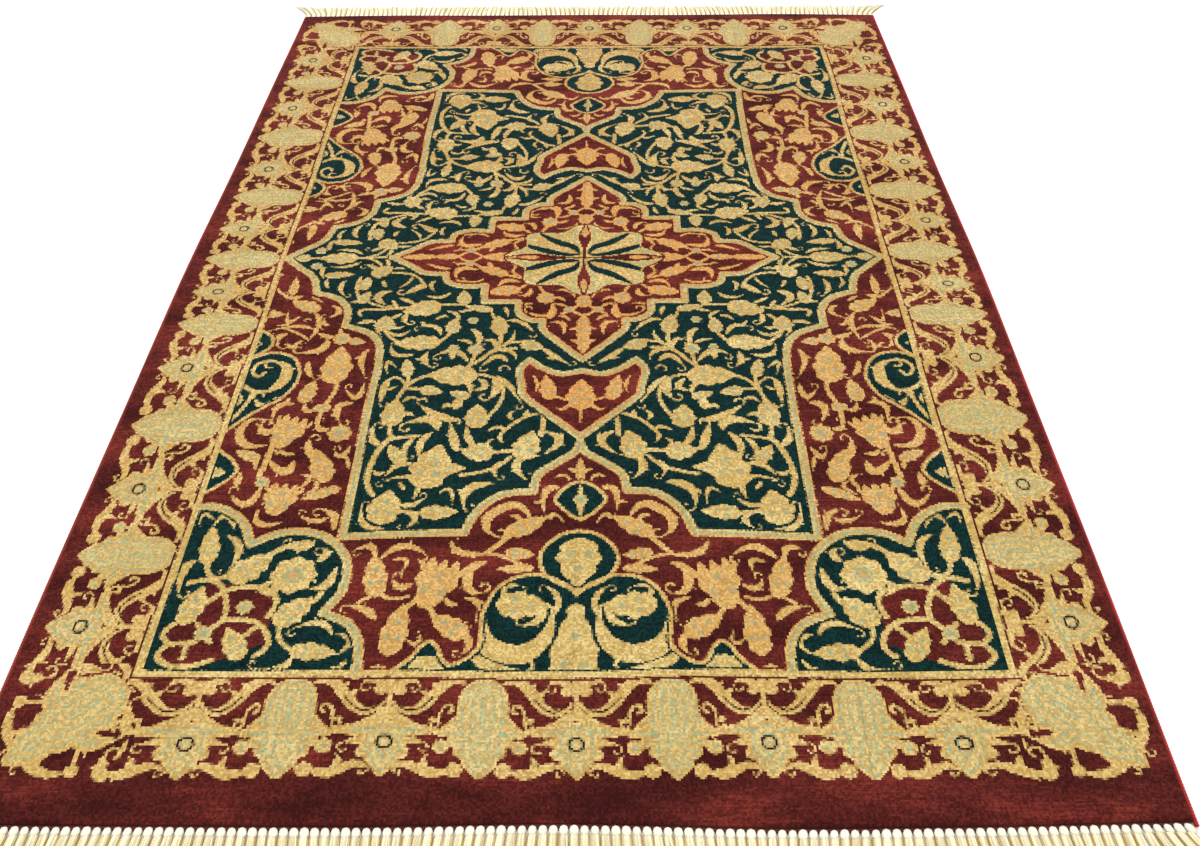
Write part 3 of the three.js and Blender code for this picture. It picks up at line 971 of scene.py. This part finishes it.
# Shader maths: a wrapped socket, so that sums of values read as sums.
class Wire:
    def __init__(self, tree, socket=None):
        self.tree = tree
        self.socket = socket

    # Any node: its type, its settings, the values or wires of its sockets, and which output to take.
    def node(self, kind, settings=None, inputs=None, output=0):
        made = self.tree.nodes.new(kind)
        for name, value in (settings or {}).items():
            setattr(made, name, value)
        for name, value in (inputs or {}).items():
            if isinstance(value, Wire):
                self.tree.links.new(value.socket, made.inputs[name])
            else:
                made.inputs[name].default_value = value
        return Wire(self.tree, made.outputs[output])

    def math(self, operation, a, b=0.0, clamp=False):
        return self.node("ShaderNodeMath", {"operation": operation, "use_clamp": clamp}, {0: a, 1: b})

    def __add__(self, other):
        return self.math("ADD", self, other)

    def __sub__(self, other):
        return self.math("SUBTRACT", self, other)

    def __rsub__(self, other):
        return self.math("SUBTRACT", other, self)

    def __mul__(self, other):
        return self.math("MULTIPLY", self, other)

    __radd__ = __add__
    __rmul__ = __mul__

    def clamped(self):
        return self.math("ADD", self, 0.0, True)

    def attribute(self, name):
        return self.node("ShaderNodeAttribute", {"attribute_name": name}, output="Fac")

    def noise(self, place, scale, detail=2.0, roughness=0.5):
        values = {"Vector": place, "Scale": scale, "Detail": detail, "Roughness": roughness}
        return self.node("ShaderNodeTexNoise", None, values)

    def stretched(self, place, scale):
        return self.node("ShaderNodeMapping", None, {"Vector": place, "Scale": scale})

    def mix(self, share, a, b, blend="MIX"):
        settings = {"data_type": "RGBA", "blend_type": blend, "clamp_factor": True}
        return self.node("ShaderNodeMix", settings, {0: share, 6: a, 7: b}, output=2)


def colour(red, green, blue):  # screen values of 0 to 255 as linear light
    share = np.array((red, green, blue)) / 255
    linear = np.where(share <= 0.04045, share / 12.92, ((share + 0.055) / 1.055) ** 2.4)
    return (*linear.tolist(), 1.0)


# A material whose colour, roughness and bump come from a recipe, with its constants on the shader.
def newMaterial(name, recipe, constants):
    material = bpy.data.materials.new(name)
    material.use_nodes = True
    tree = material.node_tree
    shader = tree.nodes["Principled BSDF"]
    for socket, value in constants.items():
        shader.inputs[socket].default_value = value
    start = Wire(tree)
    place = start.node("ShaderNodeTexCoord", output="Object")
    for socket, value in recipe(start, place).items():
        tree.links.new(value.socket, shader.inputs[socket])
    return material


# The pile
pile = {
    "strips": 4,
    "across": 126,  # steps across a strip, about one knot each
    "along": 756,
    "base": 2.9,  # underside of the pile, on the ground weave
    "rim": 1.5,  # how far the rim rolls over
    "rimWidth": 1.2,
    "swell": 0.35,  # slow rise and fall of a rug that lies free
    "nap": 0.1,  # how unevenly the knots are clipped
    "seed": 7,
    "burgundy": colour(108, 42, 36),
    "burgundyDeep": colour(66, 24, 23),
    # rose: lighter streaks of the rows and the dye, and painted sheen towards the back
    "burgundyRose": colour(144, 58, 47),
    "teal": colour(18, 55, 52),
    "tealDeep": colour(9, 29, 30),
    "gold": colour(218, 187, 110),
    "goldPale": colour(246, 229, 166),
    "goldOlive": colour(170, 138, 70),
    # the gold of the back end: a painted change of the pile's sheen, not a dye
    "goldSheenAtBack": colour(186, 142, 84),
    "peach": colour(222, 154, 82),
    "celadon": colour(132, 178, 146),
    "wash": colour(228, 210, 142),
    "salmon": colour(206, 122, 86),
    "outline": colour(56, 17, 19),
    "knotShade": colour(160, 148, 140),
    "knotLight": colour(255, 255, 255),
    "shrink": 0.5,  # how far the ground's knots close in on a motif
}


def pileRecipe(start, place):
    knot = start.attribute("knot")
    tufts = start.noise(place, 900, 2.0, 0.7)
    rows = start.noise(start.stretched(place, (30, 420, 1)), 1.0, 3.0, 0.6)
    patches = start.noise(start.stretched(place, (5, 14, 1)), 1.0, 4.0, 0.6)
    blotches = start.noise(place, 70, 3.0, 0.6)
    specks = (start.noise(place, 190, 1.0) - 0.5) * 5.0 + 0.3
    ragged = (knot - 0.5) * 1.0 + (start.noise(place, 420, 1.0) - 0.5) * 0.8
    # far runs from 0 at the front end to 1 at the back end; it paints the pile's sheen, which changes
    # towards the back, into the colours
    far = (start.node("ShaderNodeSeparateXYZ", None, {0: place}, output="Y") * 0.55 + 0.5).clamped()
    contour = start.math("FRACT", start.noise(place, 55, 1.0) * 11.0)
    scribble = (1.2 - start.math("ABSOLUTE", contour - 0.5) * 6.0).clamped()

    def area(name, softness=1.0, shrink=0.0):
        return ((start.attribute(name) + ragged - shrink) * (1 / softness) + 0.5).clamped()

    ground = start.mix(patches * 3.0 - 1.0 + (knot - 0.5) * 0.4, pile["burgundyDeep"], pile["burgundy"])
    # Rose along the rows and the dye's patches, partly real, partly painted sheen that makes the red
    # lighter and rosier towards the back.
    rosy = (patches - 0.52) * 2.8 + (rows - 0.5) * 2.6 + (knot - 0.6) * 0.3 + far * 0.3
    ground = start.mix(rosy, ground, pile["burgundyRose"])
    teal = start.mix(rows * 1.2 + blotches * 1.2 + knot * 0.7 - 1.0, pile["tealDeep"], pile["teal"])
    gold = start.mix((blotches - 0.5) * 2.4, pile["gold"], pile["goldOlive"])
    # Painted sheen: the gold turns warmer and darker towards the back.
    gold = start.mix(far * 0.85, gold, pile["goldSheenAtBack"])
    pale = (patches - 0.4) * 1.6 + (rows - 0.5) * 1.4 + (knot - 0.6) * 0.6
    gold = start.mix(pale, gold, pile["goldPale"])
    gold = start.mix(start.attribute("peach") * (0.95 - knot * 0.4), gold, pile["peach"])
    wash = area("wash", 5.0)
    gold = start.mix(wash * (blotches * 0.5), gold, pile["wash"])
    gold = start.mix(wash * scribble * 0.28, gold, pile["celadon"])
    base = start.mix(area("teal"), ground, teal)
    base = start.mix(area("gold", shrink=pile["shrink"]), base, gold)
    base = start.mix(area("celadon", 1.6) * (specks.clamped() * 0.4 + 0.4), base, pile["celadon"])
    base = start.mix(area("salmon", 1.6) * (knot * 0.7), base, pile["salmon"])
    base = start.mix(area("dark"), base, pile["outline"])
    shade = start.mix(knot * 0.45 + tufts * 1.0 - 0.05, pile["knotShade"], pile["knotLight"])
    height = tufts * 0.6 + knot * 0.25 + rows * 0.35
    bump = start.node("ShaderNodeBump", None, {"Strength": 0.5, "Distance": 0.0012, "Height": height})
    return {"Base Color": start.mix(1.0, base, shade, "MULTIPLY"), "Normal": bump}


wool = {"Roughness": 0.95, "Specular IOR Level": 0.05, "Sheen Weight": 0.02, "Sheen Roughness": 0.4}
pileWool = newMaterial("pileWool", pileRecipe, wool)

charts = (fieldChart(), borderChart(), cornerChart())
print("pattern charted")


# How unevenly the knots are clipped and dyed, over the whole rug
draw = np.random.default_rng(pile["seed"])
clipped = draw.normal(0, pile["nap"], (pile["along"] + 1, pile["strips"] * pile["across"] + 1))
dyed = draw.uniform(0, 1, (pile["along"], pile["strips"] * pile["across"]))


# A strip of pile: a grid over its share of the rug, rolled over at the rug's rim and closed below.
def pileStrip(number):
    low = -1 + 2 * number / pile["strips"]
    share = np.linspace(low, low + 2 / pile["strips"], pile["across"] + 1)
    p, q = np.meshgrid(np.linspace(0, 1, pile["along"] + 1), share, indexing="ij")
    x, y, front, back = overRug(p, q)
    inwards = np.minimum((1 - np.abs(q)) * rug["bodyHalf"], np.minimum(y - front, back - y))
    swell = np.sin(x / 210 + 0.6) * np.sin(y / 260 - 0.4) + 0.6 * np.sin(x / 95 - y / 130)
    rolled = pile["rim"] * np.exp(-inwards / pile["rimWidth"])
    z = rug["thickness"] - pile["swell"] * (1 + 0.6 * swell) - rolled
    first = number * pile["across"]
    z = z + clipped[:, first:first + pile["across"] + 1] * (inwards > 1)
    top = np.stack((x, y, z), axis=-1).reshape(-1, 3)
    rows, columns = x.shape
    rim = rimOf(rows, columns)
    below = top[rim] * (1, 1, 0) + (0, 0, pile["base"])
    lower = rows * columns + np.arange(len(rim))
    wall = np.stack((rim, lower, np.roll(lower, -1), np.roll(rim, -1)), axis=-1)
    quads = gridQuads(rows, columns)
    faces = quads.tolist() + wall.tolist() + [lower[::-1].tolist()]
    piece = newPiece(f"pileStrip{number + 1}", np.vstack([top, below]), faces, pileWool)
    piece.data.polygons.foreach_set("use_smooth", np.arange(len(faces)) < len(quads))
    knotX = (x[:-1, :-1] + x[1:, 1:]) / 2  # each face of the top is one knot, of one colour
    knotY = (y[:-1, :-1] + y[1:, 1:]) / 2
    depth = patternAt(charts, knotX, knotY)
    depth["knot"] = dyed[:, first:first + pile["across"]]
    plain = {"peach": 0, "knot": 0.5}
    for name, values in depth.items():
        edge = np.full(len(wall) + 1, plain.get(name, nothing))
        addAttribute(piece, name, np.concatenate([values.ravel(), edge]), "FACE")
    return piece


strips = [pileStrip(number) for number in range(pile["strips"])]
print("pile knotted")

# The ground weave under the pile
weave = {
    "top": 2.6,
    "rows": 61,
    "columns": 31,
    "inset": 0.4,  # how far it stays inside the pile
    "threads": 190.0,
    "warp": colour(196, 172, 128),
    "weft": colour(126, 52, 46),
}


def weaveRecipe(start, place):
    def threads(direction):
        values = {"Vector": place, "Scale": weave["threads"]}
        wave = start.node("ShaderNodeTexWave", {"bands_direction": direction}, values)
        return start.node("ShaderNodeSeparateColor", None, {0: wave})

    warp = threads("X")
    weft = threads("Y")
    height = warp + weft
    bump = start.node("ShaderNodeBump", None, {"Strength": 0.5, "Distance": 0.0006, "Height": height})
    return {"Base Color": start.mix(warp * weft, weave["weft"], weave["warp"]), "Normal": bump}


cotton = {"Roughness": 0.92, "Specular IOR Level": 0.2}
groundCotton = newMaterial("groundCotton", weaveRecipe, cotton)


# The weave: a slab whose under and upper faces are the same grid over the rug, with a wall round them.
def groundWeave():
    along = np.linspace(0, 1, weave["rows"])
    across = np.linspace(-1, 1, weave["columns"])
    x, y, _, _ = overRug(*np.meshgrid(along, across, indexing="ij"), weave["inset"])
    floor = np.stack((x, y, 0 * x), axis=-1).reshape(-1, 3)
    rows, columns = x.shape
    count = rows * columns
    rim = rimOf(rows, columns)
    ahead = np.roll(rim, -1)
    under = gridQuads(rows, columns)
    wall = np.stack((rim, ahead, ahead + count, rim + count), axis=-1)
    faces = np.vstack([under[:, ::-1], under + count, wall]).tolist()
    places = np.vstack([floor, floor + (0, 0, weave["top"])])
    return newPiece("groundWeave", places, faces, groundCotton, False)


ground = groundWeave()

# The overcast cord down each side
cord = {
    "radius": 2.5,
    "gap": 0.3,
    "turn": 3.6,  # length of one wrap of yarn
    "ridge": 0.22,
    "sides": 7,
    "perTurn": 3,
    # red yarn, made brighter and pinker than the left cord's as a painted highlight along the right rim
    "redYarnAndHighlight": colour(196, 58, 52),
    "rustYarn": colour(168, 66, 46),
    # the colour of painted shade on the cord
    "paintedShade": colour(112, 34, 32),
}


def cordRecipe(yarn):
    def recipe(start, place):
        fuzz = start.noise(place, 700, 2.0)
        # Painted shade: long darker patches along the cord.
        patches = start.noise(start.stretched(place, (1, 9, 1)), 1.0, 2.0)
        base = start.mix(patches * 1.4 - 0.2, cord["paintedShade"], yarn)
        bump = start.node("ShaderNodeBump", None, {"Strength": 0.4, "Distance": 0.0006, "Height": fuzz})
        return {"Base Color": base, "Normal": bump}
    return recipe


# A cord: a circle carried along the side, its radius swelling once for each wrap, on a slant.
def overcastCord(name, side, material):
    rings = int(2 * rug["halfLength"] / cord["turn"] * cord["perTurn"])
    y = np.linspace(-rug["halfLength"], rug["halfLength"], rings)[:, None]
    turn = np.linspace(0, 2 * np.pi, cord["sides"], endpoint=False)[None, :]
    wrap = np.cos(2 * np.pi * y / cord["turn"] + turn)
    radius = cord["radius"] - cord["ridge"] * (1 - wrap)
    x = side * (sideAt(y) + cord["gap"] + cord["radius"] + radius * np.cos(turn) * side)
    z = cord["radius"] + radius * np.sin(turn)
    places = np.stack((x, y + 0 * turn, z), axis=-1).reshape(-1, 3)
    return newPiece(name, places, tubeFaces(1, rings, cord["sides"]), material)


leftCord = overcastCord("leftCord", -1, newMaterial("rustYarn", cordRecipe(cord["rustYarn"]), wool))
# The right cord is lighter and pinker than the left: red yarn, with a painted highlight.
rightCord = overcastCord("rightCord", 1, newMaterial("redYarnAndHighlight", cordRecipe(cord["redYarnAndHighlight"]), wool))
print("sides overcast")

# The fringes
fringe = {
    "locks": 120,
    "plies": 7,
    "heading": 4,  # the bare weave that the locks hang from
    "headingHeight": 3.4,
    "gap": 0.3,
    "length": 56,
    "trim": 7,  # how much shorter the shortest lock is
    "knotWidth": 8.8,
    "knotLength": 11,
    "knotSet": 1.8,  # from the heading's outer edge to the middle of the knot
    "knotHeight": 5.4,
    "knotRings": 6,
    "knotSides": 8,
    "plyRadius": 0.95,
    "plySides": 5,
    "plyShares": (0.1, 0.22, 0.38, 0.56, 0.76, 1.0),  # where a ply bends, from the heading to its tip
    "headingRings": 121,
    "leanDrift": 7,
    "leanWaves": 3.5,
    "cornerSplay": 38,
    "splayWidth": 95,
    "leanCurve": 1.4,
    "seed": 21,
    "cream": colour(246, 240, 208),
    "strawAndGapShade": colour(186, 158, 92),
    "white": colour(250, 246, 226),
    "root": colour(96, 40, 34),
}


def fringeRecipe(start, place):
    fuzz = start.noise(place, 600, 3.0, 0.6)
    tone = start.attribute("tone") + (fuzz - 0.5) * 0.5
    # Straw for the darker plies: the yarn's own tone, and painted shade in the gaps between locks.
    base = start.mix(tone, fringe["strawAndGapShade"], fringe["cream"])
    base = start.mix(start.attribute("knot"), base, fringe["white"])
    base = start.mix(start.attribute("root"), base, fringe["root"])
    bump = start.node("ShaderNodeBump", None, {"Strength": 0.5, "Distance": 0.0006, "Height": fuzz})
    return {"Base Color": base, "Normal": bump}


fringeCotton = newMaterial("fringeCotton", fringeRecipe, {**cotton, "Sheen Weight": 0.15})


def leanAt(x):  # how far a lock's tip lies to one side of its root
    drift = fringe["leanDrift"] * np.sin(2 * np.pi * fringe["leanWaves"] * x / rug["width"])
    t = np.clip((np.abs(x) - rug["bodyHalf"] + fringe["splayWidth"]) / fringe["splayWidth"], 0, 1)
    near = t * t * (3 - 2 * t)
    return drift * (1 - near) + np.sign(x) * fringe["cornerSplay"] * near


# Many tubes at once: a circle of few sides carried along each path, as paths x rings x sides.
def tubes(paths, radii, sides):
    count, rings, _ = paths.shape
    turn = np.linspace(0, 2 * np.pi, sides, endpoint=False)
    ahead = np.gradient(paths, axis=1)
    ahead = ahead / np.linalg.norm(ahead, axis=2, keepdims=True)
    aside = np.cross(ahead, (0, 0, 1))
    aside = aside / np.linalg.norm(aside, axis=2, keepdims=True)
    upward = np.cross(aside, ahead)
    ring = aside[:, :, None] * np.cos(turn)[:, None] + upward[:, :, None] * np.sin(turn)[:, None]
    places = paths[:, :, None] + ring * radii[:, :, None, None]
    return places.reshape(-1, 3), tubeFaces(count, rings, sides)


# The loose plies: each spreads from its lock's root, leans and lifts a little and comes down at its tip.
def fringePlies(draw, root, edge, tip, lean):
    share = np.array(fringe["plyShares"])[None, None, :]
    ply = np.linspace(-1, 1, fringe["plies"])[None, :, None]
    shape = (fringe["locks"], fringe["plies"], share.size)
    width = 3.6 + 0.8 * np.sin(np.pi * share * 0.62)
    stray = draw.normal(0, 1, shape[:2])[:, :, None]
    cut = draw.uniform(-3.5, 0.5, shape[:2])[:, :, None]
    x = root + lean * share ** fringe["leanCurve"]
    x = x + ply * width + stray * 1.6 * share**2 + 0 * share
    y = edge + (tip - edge) * share + cut * share**3 + 0 * x
    lift = draw.uniform(0, 1, shape[:2])[:, :, None]
    z = 1.1 + (2.2 - 1.4 * share) * (1 - ply**2) + lift * 1.4 * np.sin(np.pi * share) + 0 * x
    paths = np.stack((x, y, z), axis=-1).reshape(-1, share.size, 3)
    taper = fringe["plyRadius"] * (1.05 - 0.45 * share**3)
    radii = np.broadcast_to(taper, shape).reshape(-1, share.size)
    places, faces = tubes(paths, radii, fringe["plySides"])
    tone = draw.uniform(0.5, 1.2, shape[:2]) - 0.75 * ply[:, :, 0] ** 6  # darker between two locks: painted shade in the gaps, and the straw tone of the outer plies
    return places, faces, np.repeat(tone.ravel(), share.size * fringe["plySides"])


# The knots: a blunt, squashed ball over each lock's root.
def fringeKnots(draw, root, edge, lean):
    up = np.linspace(-1, 1, fringe["knotRings"])
    around = np.linspace(0, 2 * np.pi, fringe["knotSides"], endpoint=False)
    rise, turn = np.meshgrid(up, around, indexing="ij")
    blunt = np.sqrt(np.maximum(1 - np.abs(rise) ** 3, 0.02))
    size = draw.uniform(0.9, 1.08, fringe["locks"])[:, None, None]
    drawn = lean * 0.06 * (1 + rise)
    x = root + size * blunt * np.cos(turn) * fringe["knotWidth"] / 2 + drawn
    y = edge + fringe["knotSet"] + rise * fringe["knotLength"] / 2 * size + 0 * x
    z = fringe["knotHeight"] / 2 * (1 + blunt * np.sin(turn)) + 0 * x
    places = np.stack((x, y, z), axis=-1).reshape(-1, 3)
    return places, tubeFaces(fringe["locks"], fringe["knotRings"], fringe["knotSides"])


# The heading: a flat band between the pile and the knots.
def fringeHeading(drift):
    x = np.linspace(-rug["endReach"], rug["endReach"], fringe["headingRings"])[:, None]
    inner = endAt(x, drift) + fringe["gap"]
    out = np.array((0, 0, 1, 1)) * fringe["heading"]
    up = np.array((0, 1, 1, 0)) * fringe["headingHeight"]
    places = np.stack((x + 0 * out, inner + out, 0 * x + up), axis=-1).reshape(-1, 3)
    return places, tubeFaces(1, fringe["headingRings"], len(out))


# A fringe, drawn with its end at the back: a heading, a knot for each lock and the loose plies under it.
def fringeEnd(name, drift, turned):
    draw = np.random.default_rng(fringe["seed"] + turned)
    number = np.arange(fringe["locks"])[:, None, None]
    root = -rug["endReach"] + (number + 0.5) * 2 * rug["endReach"] / fringe["locks"]
    edge = endAt(root, drift) + fringe["gap"] + fringe["heading"]
    trim = fringe["trim"] * np.mod(np.minimum(number, fringe["locks"] - 1 - number) * 0.618, 1)
    tip = rug["halfLength"] + fringe["heading"] + fringe["length"] - trim
    lean = leanAt(root)
    plyPlaces, plyFaces, tones = fringePlies(draw, root, edge, tip, lean)
    knotPlaces, knotFaces = fringeKnots(draw, root, edge, lean)
    bandPlaces, bandFaces = fringeHeading(drift)

    places = np.vstack([plyPlaces, knotPlaces, bandPlaces])
    if turned:
        places = places * (-1, -1, 1)
    starts = np.cumsum([0, len(plyPlaces), len(knotPlaces)]).tolist()
    groups = (plyFaces, knotFaces, bandFaces)
    faces = []
    for start, group in zip(starts, groups):
        faces += [[corner + start for corner in face] for face in group]
    piece = newPiece(name, places, faces, fringeCotton)
    ofPlies = np.ones(len(plyPlaces))
    ofKnots = np.ones(len(knotPlaces))
    ofBand = np.ones(len(bandPlaces))
    addAttribute(piece, "tone", np.concatenate([tones, ofKnots, ofBand]))
    addAttribute(piece, "knot", np.concatenate([0 * ofPlies, ofKnots, 0 * ofBand]))
    addAttribute(piece, "root", np.concatenate([0 * ofPlies, 0 * ofKnots, ofBand]))
    return piece


fringeBack = fringeEnd("fringeBack", rug["backDrift"], False)
fringeFront = fringeEnd("fringeFront", rug["frontDrift"][::-1], True)
print("ends fringed")

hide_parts("pile_body")
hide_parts("overcast_left")
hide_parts("overcast_right")
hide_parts("fringe_back")
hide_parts("fringe_front")
for piece in (*strips, ground):
    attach(piece, "root")
for piece in (leftCord, rightCord):
    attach(piece, "root")
for piece in (fringeBack, fringeFront):
    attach(piece, "root")

# The stage
studio = {
    "floorSize": 12.0,
    "floorDrop": 0.2,  # below the rug
    "floor": colour(250, 250, 249),
    "world": (1.0, 1.0, 1.0, 1.0),
    "worldStrength": 0.87,
    "camera": (36.6, -1458.8, 1043.9),
    "pitch": 0.7529,
    "yaw": -0.0078,
    "roll": -0.0065,
    "focal": 1150.8,  # in pixels of the image
    "imageWidth": 1200,
    "sensor": 36,
    "lamps": {
        "backWindow": {"place": (0.3, 3.6, 2.6), "aim": (0, 0.3, 0), "size": (4.0, 2.0), "power": 90},
        "overhead": {"place": (-0.6, -0.2, 3.4), "aim": (0, 0, 0), "size": (3.0, 3.0), "power": 40},
    },
}
half = studio["floorSize"] / 2 / mm
floorPlaces = [(-half, -half, 0), (half, -half, 0), (half, half, 0), (-half, half, 0)]
paint = {"Base Color": studio["floor"], "Roughness": 0.9}
floorPaint = newMaterial("floorPaint", lambda start, place: {}, paint)
floorPlaces = np.array(floorPlaces) - (0, 0, studio["floorDrop"])
floor = newPiece("floor", floorPlaces, [(0, 1, 2, 3)], floorPaint, False)

world = bpy.data.worlds.new("studioWorld")
world.use_nodes = True
world.node_tree.nodes["Background"].inputs["Color"].default_value = studio["world"]
world.node_tree.nodes["Background"].inputs["Strength"].default_value = studio["worldStrength"]
bpy.context.scene.world = world


def areaLight(name, place, aim, size, power):
    data = bpy.data.lights.new(name, "AREA")
    data.shape = "RECTANGLE"
    data.size, data.size_y = size
    data.energy = power
    lamp = bpy.data.objects.new(name, data)
    lamp.location = place
    lamp.rotation_euler = (Vector(aim) - Vector(place)).to_track_quat("-Z", "Y").to_euler()
    bpy.context.collection.objects.link(lamp)


for name, lamp in studio["lamps"].items():
    areaLight(name, **lamp)

# The camera: its axes from pitch, yaw and roll, as a matrix.
cp, sp = np.cos(studio["pitch"]), np.sin(studio["pitch"])
cy, sy = np.cos(studio["yaw"]), np.sin(studio["yaw"])
forward = np.array((sy * cp, cy * cp, -sp))
right = np.array((cy, -sy, 0))
upward = np.cross(right, forward)
cr, sr = np.cos(studio["roll"]), np.sin(studio["roll"])
axes = np.column_stack((cr * right + sr * upward, cr * upward - sr * right, -forward))
matrix = np.eye(4)
matrix[:3, :3] = axes
matrix[:3, 3] = np.array(studio["camera"]) * mm
camera = bpy.data.objects.new("camera", bpy.data.cameras.new("camera"))
camera.data.sensor_width = studio["sensor"]
camera.data.lens = studio["sensor"] * studio["focal"] / studio["imageWidth"]
camera.matrix_world = Matrix(matrix.tolist())
bpy.context.collection.objects.link(camera)
bpy.context.scene.camera = camera
bpy.context.scene.view_settings.view_transform = "Standard"
print("stage set")
